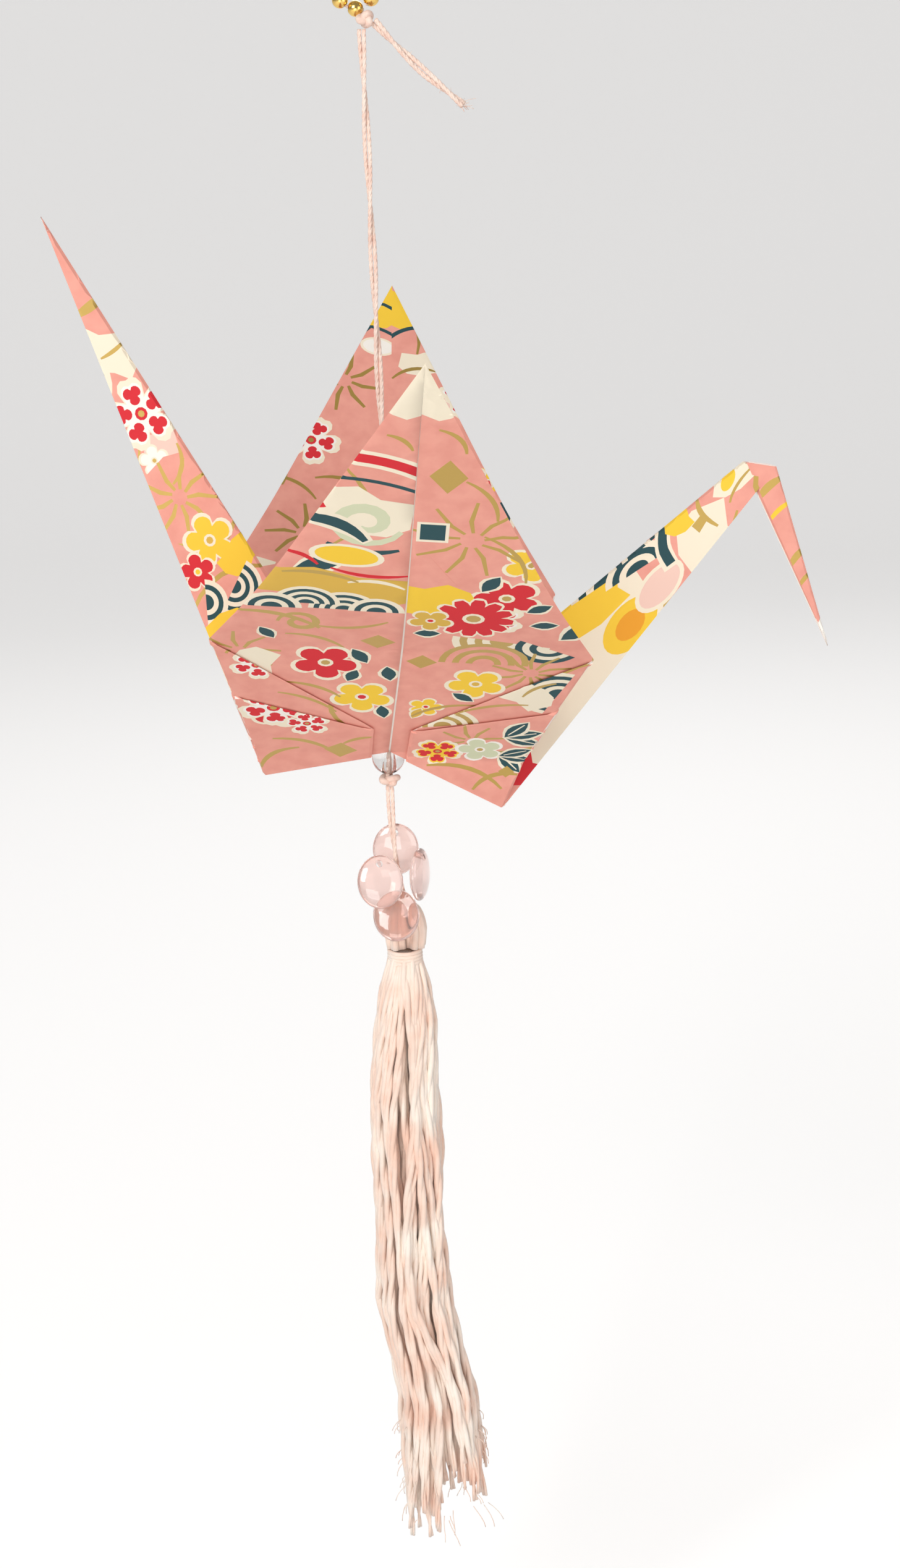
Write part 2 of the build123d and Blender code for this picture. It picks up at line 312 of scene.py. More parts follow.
def on_leg(p, side, head):
    leg = LEGS[side]
    foot, corner = leg["foot"], leaned(leg["corner"], leg["lean"]["corner"])
    flat_foot = (0, leg["foot_h"])
    flat_corner = (leg["corner_x"], -leg["drop"])
    if side < 0:
        return affine(p, [flat_foot, flat_corner, (0, -LEG)], [foot, corner, leg["tip"]])
    throat = leaned(leg["throat"], leg["lean"]["throat"])
    flat_crown = (0, leg["crown_h"])
    if head:
        side_throat = leaned(leg["throat"], leg["lean"]["head"])
        return affine(
            p, [flat_crown, leg["throat_flat"], (0, -LEG)], [leg["crown"], side_throat, leg["tip"]]
        )
    upper = affine(p, [flat_foot, flat_crown, leg["throat_flat"]], [foot, leg["crown"], throat])
    lower = affine(p, [flat_foot, flat_corner, leg["throat_flat"]], [foot, corner, throat])
    line = np.asarray(leg["throat_flat"]) - flat_foot
    away = p - np.asarray(flat_foot)
    is_lower = line[0] * away[:, 1] - line[1] * away[:, 0] > 0
    return np.where(is_lower[:, None], lower, upper)


def apex_point():
    foot = on_body(np.array([EDGE_GAP + RIDGE_HALF]), np.array([RIDGE]))[0]
    return np.array([APEX_X, 0, foot[2] + sqrt(RIDGE_HALF**2 - foot[1] ** 2)])


def groove_corners(side):
    leg = LEGS[side]
    ridge = on_body(np.array([side * (EDGE_GAP + RIDGE_HALF)]), np.array([RIDGE]))[0]
    hinge = on_body(np.array([side * (EDGE_GAP + NARROW * LEG)]), np.array([0.0]))[0]
    flat = {
        "apex": (0, APEX), "ridge": (RIDGE_HALF, RIDGE), "hinge": (NARROW * LEG, 0),
        "corner": (leg["corner_x"], -leg["drop"]), "foot": (0, leg["foot_h"]),
    }
    space = {
        "apex": apex_point(), "ridge": ridge, "hinge": hinge,
        "corner": leg["corner"], "foot": leg["foot"],
    }
    return flat, space


LAYERS = {
    ("T1", False): -1.0, ("T2", False): 0.0, ("T3", False): 1.5, ("T4", False): 1.8,
    ("T3", True): 2.7, ("T4", True): 2.7, ("T2", True): 3.8, ("T1", True): 4.9, ("T5", True): 6.0,
}
LEG_LAYERS = {("T5", False): 3.0, ("T4", False): 1.1, ("T4", True): 0.9, ("T5", True): -0.6}
HEAD_LAYERS = {key: 3.0 - layer for key, layer in LEG_LAYERS.items()}
# how far each triangle's narrowing fold stays inside the one that wraps it
NESTED = {"T3": 0.3, "T4": 0.3, "T2": 0.15}
WEDGE_LAYERS = {("T5", True): 0.0, ("T4", True): 1.6, ("T4", False): 2.4}
UP = np.array([0, 0, 1.0])
OUT = np.array([0, -1.0, 0])


def beyond(p, start, end):
    """Whether a point lies to the right of the line from start to end."""
    line = np.asarray(end, float) - start
    away = np.asarray(p, float) - start
    return line[0] * away[1] - line[1] * away[0] < 0


def zone_of(kind, p, side):
    """Which flat area of the folded crane a point of a triangle lies on."""
    leg = LEGS[side]
    x, height = p
    outer = bool(x > NARROW * (height + LEG))
    if outer:
        x, height = over_narrowing([p])[0]
    if kind == "T1":
        return (kind, outer, "slope" if not outer and height > RIDGE else "body")
    if kind in ("T2", "T3"):
        return (kind, outer, "wing" if not outer and height > BEND else "body")
    if height < leg["foot_h"] - (leg["drop"] + leg["foot_h"]) * x / leg["corner_x"]:
        head = side > 0 and beyond((x, height), (0, leg["crown_h"]), leg["throat_flat"])
        return (kind, outer, "head" if head else "leg")
    if kind == "T4" or outer:
        on_side = height > -leg["drop"] * x / leg["corner_x"]
        return (kind, outer, "body" if on_side else "wedge")
    flat, _ = groove_corners(side)
    if not beyond((x, height), flat["foot"], flat["ridge"]):
        return (kind, outer, "groove_upper")
    if not beyond((x, height), flat["foot"], flat["hinge"]):
        return (kind, outer, "groove_middle")
    return (kind, outer, "groove_lower")


def in_space(zone, p, side, wing):
    """Where a zone's points lie on the folded crane, before its +Y half is mirrored."""
    kind, outer, area = zone
    leg = LEGS[side]
    if outer:
        p = over_narrowing(p)
    x, height = p[:, 0], p[:, 1]
    if area in ("leg", "head"):
        if kind == "T4":
            # the inner plies stay clear of the outer one's folds
            width = np.maximum(NARROW * (height + LEG), 0.1)
            inset = np.minimum(PLY_INSET, width * 0.3)
            tuck = np.minimum(PLY_TUCK, width * 0.5) if area == "leg" and not outer else 0
            p = np.stack([tuck + x * (width - inset - tuck) / width, height], 1)
        place, outward = on_leg(p, side, area == "head"), OUT
        layer = (HEAD_LAYERS if area == "head" else LEG_LAYERS)[kind, outer]
    elif area == "wedge":
        # the underside, from the bottom edge of the body's side to the leg's spine
        corners = [(0, 0), (0, leg["foot_h"]), (leg["corner_x"], -leg["drop"])]
        place = affine(p, corners, [(side * EDGE_GAP, -HOLE_HALF, 0), leg["foot"], leg["corner"]])
        outward, layer = UP, WEDGE_LAYERS[kind, outer]
    elif area == "slope":
        _, space = groove_corners(side)
        middle = on_body(np.array([0.0]), np.array([RIDGE]))[0]
        corners = [(0, APEX), (0, RIDGE), (RIDGE_HALF, RIDGE)]
        place = affine(p, corners, [space["apex"], middle, space["ridge"]])
        outward, layer = UP, 0.0
    elif area.startswith("groove"):
        flat, space = groove_corners(side)
        names = {
            "groove_upper": ("apex", "ridge", "foot"),
            "groove_middle": ("ridge", "hinge", "foot"),
            "groove_lower": ("hinge", "corner", "foot"),
        }[area]
        place = affine(p, [flat[n] for n in names], [space[n] for n in names])
        outward, layer = UP, 0.0
    elif area == "wing":
        along = np.clip(height - BEND, 0, WING)
        left = 1 - along / WING
        gap = EDGE_GAP * left
        half = BEND_HALF * left
        slit = RAW_GAP * left if kind == "T3" else 0
        across = slit + x * (half + gap - slit) / np.maximum(half, 1e-6)
        bend = on_body(np.array([0.0]), np.array([BEND]))[0]
        place = np.stack([
            side * across + WING_TIP_X * along / WING,
            bend[1] - np.interp(along, WING_STEPS, WINGS[wing][0]),
            bend[2] + np.interp(along, WING_STEPS, WINGS[wing][1]),
        ], 1)
        outward, layer = np.array([0, -0.72, -0.7]), 0.0 if kind == "T2" else 1.6
    else:
        width = NARROW * (height + LEG)
        fade = np.clip(np.minimum((BEND - height) / 3, (height + leg["drop"]) / 2), 0, 1)
        inset = NESTED.get(kind, 0) * fade
        if outer:
            across = EDGE_GAP + x * (width - inset) / width
        else:
            slit = RAW_GAP if kind in ("T3", "T4") else 0
            across = slit + x * (width + EDGE_GAP - inset - slit) / width
        above = on_body(side * across, height)
        below = under_body(side * across, height, leg["drop"])
        place = np.where((height >= 0)[:, None], above, below)
        outward, layer = np.array([0, -0.7, -0.7]), LAYERS[kind, outer]
    normal = np.zeros(3)
    spread = place - place.mean(0)
    if len(place) > 2:
        normal = np.linalg.svd(spread, full_matrices=False)[2][2]
    if normal @ outward < 0:
        normal = -normal
    return place + normal * layer * PLY


# ---------------------------------------------------------------- the print

# A motif is a list of (ink, outline) in mm about its middle. The last one drawn lies on top.


def ring(radius, count=24, squash=1.0):
    angles = [2 * pi * i / count for i in range(count)]
    return [(radius * cos(a), radius * squash * sin(a)) for a in angles]


def turned(points, angle, shift=(0, 0)):
    c, s = cos(radians(angle)), sin(radians(angle))
    return [(c * x - s * y + shift[0], s * x + c * y + shift[1]) for x, y in points]


def petals(radius, count, dent=0.12, steps=8, waist=0.5):
    """A flower's outline: rounded petals with a small dent at each tip."""
    points = []
    for i in range(count * steps):
        share = (i % steps) / steps
        lobe = abs(sin(pi * share)) ** 0.6
        notch = dent * max(0.0, 1 - abs(share - 0.5) * 6)
        r = radius * (waist + (1 - waist) * lobe - notch)
        a = 2 * pi * i / (count * steps)
        points.append((r * cos(a), r * sin(a)))
    return points


def ribbon(points, width, taper=0.35):
    """A line of that width along the points, thinner at its ends."""
    pts = [Vector(p) for p in points]
    left, right = [], []
    for i, p in enumerate(pts):
        d = (pts[min(i + 1, len(pts) - 1)] - pts[max(i - 1, 0)]).normalized()
        n = Vector((-d.y, d.x))
        w = width / 2 * (taper + (1 - taper) * sin(pi * (i + 0.5) / len(pts)))
        left.append(tuple(p + n * w))
        right.append(tuple(p - n * w))
    return left + right[::-1]


def bow(length, sag, count=9):
    """A curved line from one end to the other."""
    return [(length * (i / (count - 1) - 0.5), sag * (1 - (2 * i / (count - 1) - 1) ** 2))
            for i in range(count)]


def blossom(r, fill="white", count=5):
    """A cherry flower with a small red heart on each petal."""
    out = [("cream", petals(r, count, 0.1)), (fill, petals(r * 0.84, count))]
    for i in range(count):
        a = 360 / count * (i + 0.5)
        middle = (r * 0.5 * cos(radians(a)), r * 0.5 * sin(radians(a)))
        out.append(("red", turned(petals(r * 0.26, 3, 0), a, middle)))
    return out + [("red", ring(r * 0.17, 10)), ("gold", ring(r * 0.09, 8))]


def plum(r, fill="red", heart="gold", edge="cream"):
    return [(edge, petals(r, 5, 0, 8, 0.62)), (fill, petals(r * 0.86, 5, 0, 8, 0.58)),
            (edge, ring(r * 0.22, 10)), (heart, ring(r * 0.13, 8))]


def chrysanthemum(r, count=12):
    petal = ribbon([(r * share, 0) for share in (0.25, 0.5, 0.75, 0.9)], r * 0.34)
    out = [("cream", petals(r, count, 0, 5, 0.8))]
    out += [("red", turned(petal, 360 / count * (i + 0.5))) for i in range(count)]
    return out + [("gold", ring(r * 0.17, 10))]


def waves(r, inks=("cream", "teal"), start=0, sweep_by=180, rings=3):
    """A fan of arcs, as in a wave pattern."""
    out = []
    count = 14
    for k in range(2 * rings):
        radius = r * (1 - k / (2 * rings + 0.6))
        arc = [(0, 0)] + [
            (radius * cos(radians(start + sweep_by * i / count)),
             radius * sin(radians(start + sweep_by * i / count))) for i in range(count + 1)]
        out.append((inks[k % 2], arc))
    return out


def diamond(w, h, ink="gold"):
    return [(ink, [(w, 0), (0, h), (-w, 0), (0, -h)])]


def leaf(length, width, ink="teal", edge="cream"):
    shape = [(length * t, width * sin(pi * t) * 0.5) for t in (0, 0.2, 0.4, 0.6, 0.8, 1)]
    shape += [(x, -y) for x, y in shape[-2:0:-1]]
    grown = [(x * 1.12 - 0.06 * length, y * 1.5) for x, y in shape]
    return [(edge, grown), (ink, shape)]


def rays(r, count=8, width=0.5):
    ray = ribbon([(r * 0.2, 0), (r * 0.5, r * 0.06), (r, 0)], width)
    return [("gold", turned(ray, 360 / count * i)) for i in range(count)]


def curve(length, sag, width=0.55, ink="gold", taper=0.35):
    return [(ink, ribbon(bow(length, sag), width, taper))]


def square(r, ink):
    return [(ink, turned(ring(r, 4), 45))]


def oval(a, b, fill="yellow", inner=None):
    out = [("cream", ring(a, 24, b / a)), (fill, ring(a * 0.84, 24, b / a * 0.95))]
    if inner:
        out.append((inner, ring(a * 0.45, 18, b / a)))
    return out


def swirl(r, ink="cream", width=1.2, turns=1.3):
    points = []
    for i in range(22):
        a = 2 * pi * turns * i / 21
        points.append((r * (1 - 0.75 * i / 21) * cos(a), r * (1 - 0.75 * i / 21) * sin(a)))
    return [(ink, ribbon(points, width))]


def field(w, h, ink):
    """A soft-edged patch of one colour."""
    return [(ink, [(x * w, y * h) for x, y in (
        (-1, -0.2), (-0.7, -0.8), (-0.2, -1), (0.4, -0.8), (0.9, -0.9), (1, -0.1),
        (0.8, 0.6), (0.3, 1), (-0.2, 0.7), (-0.8, 0.9))])]


def striped(r):
    """Dark leaves side by side, with pale veins."""
    out = []
    vein = ribbon([(r * 0.15, 0), (r * 0.5, 0), (r * 0.85, 0)], r * 0.05)
    for a in (-38, 0, 38):
        out += [(ink, turned(shape, a)) for ink, shape in leaf(r, r * 0.42)]
        out.append(("cream", turned(vein, a)))
    return out


# Where each motif lies, as (x, height, turn, motif) on its triangle in the folded form. A
# "flap" is the part of a triangle beyond the narrowing fold, given where it lies once folded.
PRINT = {1: [], -1: []}


def on(triangle, motifs):
    return [(triangle, *motif) for motif in motifs]


# the near wing and body on the head's side
PRINT[1] += on("T3", [
    (2.5, 72, 0, field(4, 5, "cream")),
    (3.1, 58.6, 0, diamond(1.9, 2.6)),
    (6.6, 55, -60, curve(7, 1)),
    (3.2, 64.0, -50, curve(4.4, 0.8)),
    (2.6, 37.2, 0, field(4.8, 3.4, "yellow")),
    (6.0, 48.6, 8, rays(6.2, 9)),
    (2.0, 49.6, 0, square(2.3, "cream") + square(1.8, "teal")),
    (9.6, 45.5, -58, curve(9, 1.4)),
    (7.1, 33.6, 10, chrysanthemum(4.7)),
    (7.6, 39.6, 60, leaf(3.4, 1.7)),
    (12.6, 35.7, 35, leaf(3.0, 1.5)),
    (13.2, 32.6, 10, leaf(3.0, 1.5)),
    (1.0, 29.3, 5, leaf(2.8, 1.6)),
    (2.6, 32.6, 20, plum(2.6, "ochre", "red")),
    (10.5, 28.2, 170, waves(5.4, ("cream", "gold"))),
    (15.6, 27.0, 150, waves(3.6, ("teal", "cream"), rings=2)),
    (2.2, 22.3, 0, diamond(1.7, 1.5)),
    (9.0, 22.5, 0, waves(5.0, ("gold", "pink"))),
    (14.5, 21.0, 20, rays(4.6, 10)),
    (8.6, 17.8, 15, plum(3.6, "yellow", "ochre")),
    (6.2, 15.4, -35, leaf(3.0, 1.4)),
    (3.4, 11.8, 40, plum(2.2, "yellow", "red")),
    (2.0, 8.9, 70, leaf(2.6, 1.2, "ochre")),
    (5.5, 11.0, 25, curve(8, 1)),
])
PRINT[1] += on("flap2", [
    (10.5, 12.4, 20, curve(9, 0.8)),
    (15.6, 17.6, 45, curve(5, 0.6)),
])
PRINT[1] += on("flap5", [
    (5.0, 1.8, 20, blossom(3.3, "yellow")),
    (10.0, 2.8, 0, plum(3.0, "green", "gold", "white")),
    (12.6, 6.2, 20, striped(4.6)),
    (12.4, 1.4, -10, striped(4.2)),
    (8.6, -3.0, -20, curve(10, 1.6, 0.7)),
    (12.4, -3.6, 30, curve(6, 1.2, 0.7)),
    (13.6, -1.7, 0, diamond(1.0, 1.0)),
])

# the neck and head
PRINT[1] += on("T5", [
    (12.0, -12.5, 30, field(2.2, 2.6, "red")),
    (10.6, -18.0, 0, field(5.5, 4.6, "cream")),
    (6.0, -27.5, 20, field(9, 6.5, "cream")),
    (7.4, -30.5, 80, oval(4.4, 3.0, "yellow", "orange")),
    (1.6, -27.6, 0, field(3.4, 5.4, "yellow")),
    (1.0, -31.2, 100, waves(4.4, rings=2)),
    (3.0, -34.6, 100, waves(4.0, rings=2)),
    (0.4, -35.6, 90, waves(3.4, rings=2)),
    (6.2, -35.4, 80, oval(3.4, 2.0, "pale")),
    (2.0, -38.9, 20, curve(7.4, 0.5, 1.9, "cream", 1) + curve(6.6, 0.5, 1.1, "teal", 1)),
    (0.2, -40.8, 0, field(3.0, 1.7, "yellow")),
    (2.4, -44.0, 0, curve(6, 0.6, 0.6)),
    (3.6, -42.6, 30, diamond(1.1, 0.9)),
    (0.6, -47.9, 0, field(3.0, 2.6, "cream")),
    (0.8, -47.6, 30, oval(1.9, 1.1)),
    (3.0, -48.6, 60, curve(5, 0.6, 0.5)),
])
PRINT[1] += on("flap5", [
    (2.0, -54.5, 10, curve(6, 0.4, 1.0)),
    (2.0, -57.6, 10, curve(6, 0.4, 0.6, "yellow")),
    (1.6, -63.6, 15, curve(5, 0.4, 0.9)),
    (1.2, -66.4, 15, curve(4, 0.3, 0.6)),
    (0.4, -73.4, 0, field(2.4, 2.2, "white")),
])

# the far wing's inner face, on the head's side
PRINT[1] += on("T2", [
    (2.0, 71.0, 0, field(3.0, 3.6, "yellow")),
    (2.4, 67.0, 20, curve(5.6, 0.7, 0.6, "teal", 1)),
    (3.0, 60.0, 15, curve(6, 1)),
    (4.6, 54.0, 0, blossom(4.4, "pale")),
    (9.0, 42.0, 30, chrysanthemum(4.6)),
    (6.0, 34.0, 0, waves(6, ("cream", "gold"), 20, 150)),
])

# the near wing and body on the tail's side
PRINT[-1] += on("T3", [
    (2.0, 71.5, 0, field(3.4, 4.6, "cream")),
    (1.8, 63.4, 40, curve(3.4, 0.5)),
    (3.4, 59.6, 15, curve(10, 0.8, 2.4, "cream", 1) + curve(10, 0.8, 1.3, "red", 1)),
    (3.8, 56.6, 12, curve(9.6, 0.6, 0.5, "teal", 1)),
    (5.2, 52.4, 20, field(5.6, 3.6, "cream")),
    (8.6, 52.8, 20, leaf(3.2, 1.9, "red")),
    (4.6, 50.6, 200, swirl(3.8, "green", 1.5)),
    (8.4, 49.2, 24, curve(9, 1.4, 2.6, "cream") + curve(8.4, 1.4, 1.5, "teal")),
    (4.8, 46.6, 6, curve(7.4, -1.0, 0.9, "teal")),
    (6.4, 44.9, 8, oval(3.9, 1.9)),
    (11.2, 44.2, 30, curve(4.4, 0.6, 0.6, "red")),
    (4.0, 42.2, 6, curve(8, -0.8, 0.6, "red")),
    (7.2, 39.2, 8, field(9.6, 3.0, "ochre")),
    (3.2, 39.6, 8, curve(6, 0.8, 0.6, "cream")),
    (9.0, 40.8, 10, curve(8, 0.8, 0.6)),
    (6.4, 34.2, 0, waves(3.8)),
    (10.4, 35.2, 0, waves(3.6)),
    (14.0, 34.0, 0, waves(3.2, rings=2)),
    (3.0, 34.0, 0, waves(3.0, rings=2)),
    (13.6, 31.0, 20, curve(10, 1.4, 0.8)),
    (11.0, 30.6, 0, swirl(2.4, "gold", 0.9)),
    (5.6, 30.8, -12, curve(8, -1.0, 0.6)),
    (2.6, 26.6, 0, diamond(1.9, 1.7)),
    (13.8, 26.2, 60, leaf(3.0, 1.5)),
    (9.4, 26.0, 25, curve(7, 1, 0.6)),
    (8.2, 21.0, 12, plum(4.1)),
    (3.6, 21.4, 60, leaf(3.4, 1.7)),
    (0.8, 17.6, 80, leaf(3.2, 1.7)),
    (5.6, 17.0, 110, leaf(2.8, 1.5)),
    (3.8, 13.4, 15, plum(3.8, "yellow", "red")),
    (1.0, 8.6, 80, leaf(3.0, 1.5)),
    (9.4, 14.6, 25, curve(7, 0.8, 0.6)),
])
PRINT[-1] += on("flap2", [
    (15.6, 20.0, 10, blossom(3.4)),
    (9.6, 12.0, 30, curve(8, 0.8)),
])
PRINT[-1] += on("flap5", [
    (13.4, 10.6, 10, blossom(4.6)),
    (9.4, 7.2, 40, blossom(3.0)),
    (5.2, 1.0, 0, diamond(2.0, 1.8)),
    (9.6, 1.6, 20, curve(8, 1.2, 0.7)),
    (12.4, -1.6, -50, curve(7, 1.2, 0.7)),
    (3.2, 3.6, -30, curve(4, 0.4, 0.6)),
])

# the tail
PRINT[-1] += on("T5", [
    (0.6, -63.7, 5, curve(5, 0.2, 1.2)),
    (1.2, -58.0, 5, curve(4, 0.2, 0.5)),
    (2.6, -50.0, 10, blossom(4.7)),
    (4.4, -44.6, 0, plum(2.0, "white")),
    (4.6, -39.4, 0, field(7, 5, "pink")),
    (4.2, -39.4, 70, rays(4.8, 9, 0.55)),
    (2.4, -43.0, 50, curve(5, 0.9, 0.55)),
    (2.6, -33.0, 15, curve(6, 0.8, 0.7)),
    (3.9, -33.2, 10, plum(3.5, "yellow", "ochre")),
    (1.4, -29.8, 20, field(3.2, 2.0, "yellow")),
    (7.4, -30.8, 0, plum(2.5, "red", "yellow")),
    (4.4, -27.0, 30, waves(3.6)),
    (8.6, -27.2, 60, waves(2.8, rings=2)),
    (8.8, -22.6, 0, field(4.6, 2.6, "yellow")),
    (10.2, -17.0, 10, field(4.6, 4.2, "cream")),
    (10.6, -13.8, 60, curve(7, 0.6, 0.6)),
])

# the far wing's inner face, on the tail's side
PRINT[-1] += on("T2", [
    (9.0, 48.0, 0, field(12, 14, "pink")),
    (14.0, 34.0, 0, field(7, 7, "pink")),
    (1.0, 73.5, 0, field(2.2, 3.4, "yellow")),
    (2.4, 69.5, 12, field(3.0, 1.9, "yellow")),
    (3.4, 67.6, 0, diamond(0.8, 0.9, "teal")),
    (2.6, 71.5, 15, curve(6, 0.6, 0.5, "teal", 1)),
    (2.4, 67.0, 15, curve(6, 0.6, 0.5, "teal", 1)),
    (1.8, 64.4, 10, oval(2.4, 1.5, "white")),
    (6.2, 58.4, 12, rays(5.0, 8, 0.6)),
    (10.4, 48.4, 10, blossom(4.2)),
    (12.6, 40.6, 30, curve(7, 1.0, 0.55)),
    (14.4, 43.4, 80, curve(5, 0.8, 0.55)),
    (11.0, 33.0, 0, rays(5.0, 8, 0.6)),
    (6.0, 41.0, 20, curve(8, 1.4, 0.6)),
    (5.0, 33.0, 0, waves(5, ("cream", "gold"), 20, 150)),
])


LOOSE_MOTIFS = 120
LOOSE_REACH = 72


def ground():
    """The print under the placed motifs: loose flowers, arcs and grasses over the sheet."""
    shapes = []
    for _ in range(LOOSE_MOTIFS):
        u, v = rng.uniform(-LOOSE_REACH, LOOSE_REACH), rng.uniform(-LOOSE_REACH, LOOSE_REACH)
        turn = rng.uniform(0, 360)
        pick = rng.choice(["curve", "curve", "rays", "plum", "blossom", "waves", "leaf", "field"])
        r = rng.uniform(3.2, 6.0)
        motif = {
            "curve": curve(r * 3, r * 0.7, 0.6),
            "rays": rays(r),
            "plum": plum(r * 0.7, rng.choice(["yellow", "red", "pale"])),
            "blossom": blossom(r * 0.8),
            "waves": waves(r, ("cream", rng.choice(["teal", "gold"]))),
            "leaf": leaf(r, r * 0.45),
            "field": field(r, r * 0.6, rng.choice(["pale", "cream", "yellow"])),
        }[pick]
        # the sheet is square with its sides at 45 degrees to u and v
        mid = ((u - v) / sqrt(2), (u + v) / sqrt(2))
        shapes += [(ink, turned(outline, turn, mid)) for ink, outline in motif]
    return shapes


def placed():
    """The motifs in PRINT on the near side, and again, turned half round, on the far side."""
    near, far = [], []
    for side, motifs in PRINT.items():
        for where, x, height, turn, motif in motifs:
            kind = {"flap2": "T2", "flap5": "T5"}.get(where, where)
            for ink, outline in motif:
                flat = np.array(turned(outline, turn, (x, height)))
                if where.startswith("flap"):
                    flat = over_narrowing(flat)
                wing = 1 if where == "T2" else -1
                sheet = unfold(kind, flat) * [side, -wing]
                only = (None if kind == "T5" else kind, (side, wing))
                near.append((ink, [tuple(p) for p in sheet], *only))
                if where == "flap5" and height < -70:
                    # the beak's tip is the same on both of its sides
                    sheet, only = sheet * [-1, 1], (None, (side, -wing))
                else:
                    only = (only[0], (-side, -wing))
                far.append((ink, [tuple(p) for p in -sheet], *only))
    return far + near


def creases():
    """The sheet's folds in one quarter, as (triangle, folded-over, start, end)."""
    lines = {1: [], -1: []}
    for side in (1, -1):
        leg = LEGS[side]
        foot, corner = (0, leg["foot_h"]), (leg["corner_x"], -leg["drop"])
        hinge, bend, ridge = (NARROW * LEG, 0), (BEND_HALF, BEND), (RIDGE_HALF, RIDGE)
        out = [
            ("T1", False, (0, 0), (APEX, 0)), ("T1", False, (0, APEX), (APEX, 0)),
            ("T1", False, hinge, ridge), ("T1", False, (0, RIDGE), ridge),
            ("T2", False, hinge, bend), ("T2", False, (0, BEND), bend),
            ("T2", False, (APEX, 0), (0, LEG)), ("T3", False, hinge, bend),
            ("T3", False, (0, BEND), bend), ("T3", False, (0, 0), (APEX, 0)),
            ("T5", False, ridge, (0, -LEG)), ("T5", False, foot, corner),
            ("T5", False, ridge, foot), ("T5", False, hinge, foot),
            ("T5", False, (APEX, 0), (0, -LEG)), ("T4", False, hinge, (0, -LEG)),
            ("T4", False, (0, 0), corner), ("T4", True, (0, 0), corner),
            ("T4", False, foot, corner), ("T4", True, foot, corner), ("T5", True, foot, corner),
            ("T5", True, (0, 0), corner), ("T5", True, (0, 0), hinge), ("T4", True, (0, 0), hinge),
        ]
        if side > 0:
            crown, throat = (0, leg["crown_h"]), leg["throat_flat"]
            for kind in ("T4", "T5"):
                out += [(kind, False, crown, throat), (kind, True, crown, throat)]
        lines[side] = out
    return lines


def sheet_mesh():
    """The whole sheet as triangles: its folds, its print's outlines and a fine grid."""
    verts, edges = [], []

    def path(points, closed=False):
        if len(points) == 2:
            first, last = Vector(points[0]), Vector(points[1])
            parts = max(1, int((last - first).length / STEP))
            points = [first.lerp(last, i / parts) for i in range(parts + 1)]
        start = len(verts)
        verts.extend(Vector(p) for p in points)
        count = len(points)
        edges.extend((start + i, start + (i + 1) % count) for i in range(count - (not closed)))

    corners = [(REACH, 0), (0, REACH), (-REACH, 0), (0, -REACH)]
    for a, b in zip(corners, corners[1:] + corners[:1]):
        path([a, b])
        path([a, (0, 0)])
    for end in (REACH - 1, 1 - REACH):
        path([(end, INSET), (0, INSET)])
        path([(end, -INSET), (0, -INSET)])
    for side, lines in creases().items():
        for kind, outer, start, end in lines:
            start, end = np.array(start, float), np.array(end, float)
            along = (end - start) / np.linalg.norm(end - start)
            normal = np.array([-along[1], along[0]])
            for shift in (0, INSET, -INSET):
                trim = abs(shift) * 2
                flat = np.array([start + along * trim, end - along * trim]) + normal * shift
                if outer:
                    flat = over_narrowing(flat)
                sheet = unfold(kind, flat)
                for flip in (1, -1):
                    path([tuple(p) for p in sheet * [side, flip]])
    shapes = ground() + placed()
    for shape in shapes:
        path(shape[1], True)
    count = int(SHEET / STEP)
    for i in range(1, count):
        for j in range(1, count):
            a, b = (i - count / 2) * STEP, (j - count / 2) * STEP
            a += JITTER * ((i * 7 + j * 3) % 5 - 2) / 2
            b += JITTER * ((i * 3 + j * 5) % 5 - 2) / 2
            verts.append(Vector(((a - b) / sqrt(2), (a + b) / sqrt(2))))
    points, _, faces, *_ = delaunay_2d_cdt(verts, edges, [], 0, 1e-4)
    points = np.array([tuple(p) for p in points])
    faces = np.array([f for f in faces if len(f) == 3])
    middles = points[faces].mean(1)
    inside = np.abs(middles).sum(1) < REACH - 1e-6
    corners = points[faces]
    area = np.cross(corners[:, 1] - corners[:, 0], corners[:, 2] - corners[:, 0])
    faces[area < 0] = faces[area < 0][:, ::-1]
    keep = inside & (np.abs(area) > 1e-7)
    return points, faces[keep], middles[keep], shapes


def inked(middles, shapes):
    """Each face's ink: that of the last outline that it lies in. A shape that names a triangle
    and a quarter prints on that triangle only."""
    ink = np.zeros(len(middles), int)
    kinds = np.array([kind_of(abs(u), -abs(v)) for u, v in middles])
    quarters = np.where(middles >= 0, 1, -1)
    for name, outline, *only in shapes:
        poly = np.array(outline)
        low, high = poly.min(0), poly.max(0)
        near = np.nonzero(((middles >= low) & (middles <= high)).all(1))[0]
        if not len(near):
            continue
        x, y = middles[near].T
        inside = np.zeros(len(near), bool)
        for (ax, ay), (bx, by) in zip(poly, np.roll(poly, -1, 0)):
            if ay == by:
                continue
            cross = (ay > y) != (by > y)
            inside ^= cross & (x < (bx - ax) * (y - ay) / (by - ay) + ax)
        if only:
            inside &= (quarters[near] == only[1]).all(1)
            if only[0]:
                inside &= kinds[near] == only[0]
        ink[near[inside]] = INK_ORDER.index(name)
    return ink


